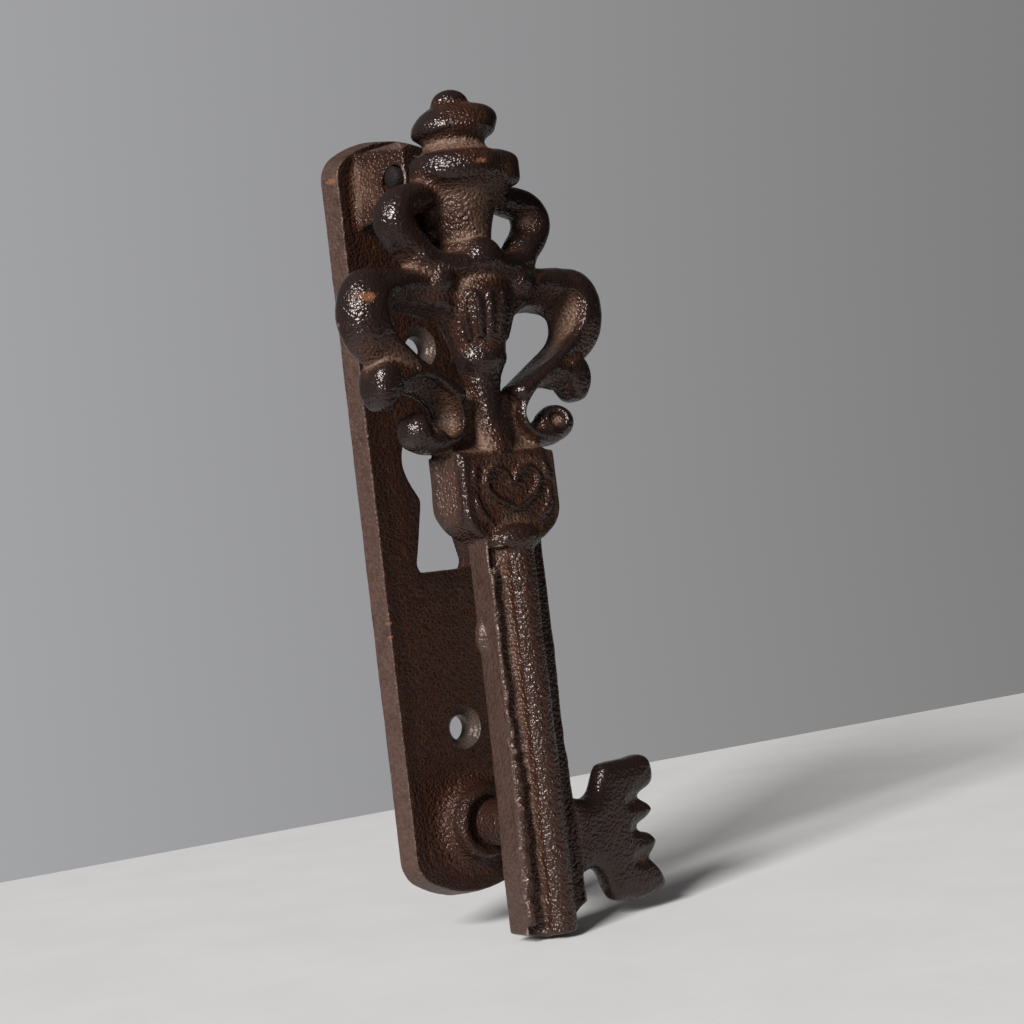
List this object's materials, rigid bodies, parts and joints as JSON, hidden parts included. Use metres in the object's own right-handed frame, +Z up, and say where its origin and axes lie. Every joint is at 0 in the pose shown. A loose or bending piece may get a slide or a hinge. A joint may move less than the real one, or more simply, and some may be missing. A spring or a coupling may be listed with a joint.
{
  "type": "door knocker",
  "caption": "Cast-iron door knocker shaped like an ornate key, hinged by its head on a tall backplate with a keyhole cut-out, and striking a round anvil boss.",
  "frame": {"origin": "on the back face of the backplate, midway between the screw holes", "axes": "+Y into the door, +Z up along the backplate, +X to the right of a person facing the door"},
  "size_m": [0.0736, 0.0393, 0.1928],
  "materials": {
    "iron": "sand-cast, dark brown, waxed, tan in the recesses",
    "pin_steel": "plain drawn pin, dulled"
  },
  "bodies": {
    "plate": {"backplate": "iron", "hinge_ear_left": "iron", "hinge_ear_right": "iron", "anvil_boss": "iron", "hinge_pin": "pin_steel"},
    "knocker": {"hinge_lug": "iron", "finial": "iron", "urn": "iron", "upper_scroll_left": "iron", "upper_scroll_right": "iron", "vase": "iron", "main_scroll_left": "iron", "main_scroll_right": "iron", "lower_scroll_left": "iron", "lower_scroll_right": "iron", "stem": "iron", "heart_collar": "iron", "shank": "iron", "bit": "iron", "striker_stud": "iron"}
  },
  "joints": [
    {"name": "knocker_hinge", "type": "hinge", "parent": "plate", "child": "knocker", "pos_m": [0, -0.0158, 0.0828], "axis": [-1, 0, 0], "range_deg": [0, 60]}
  ]
}
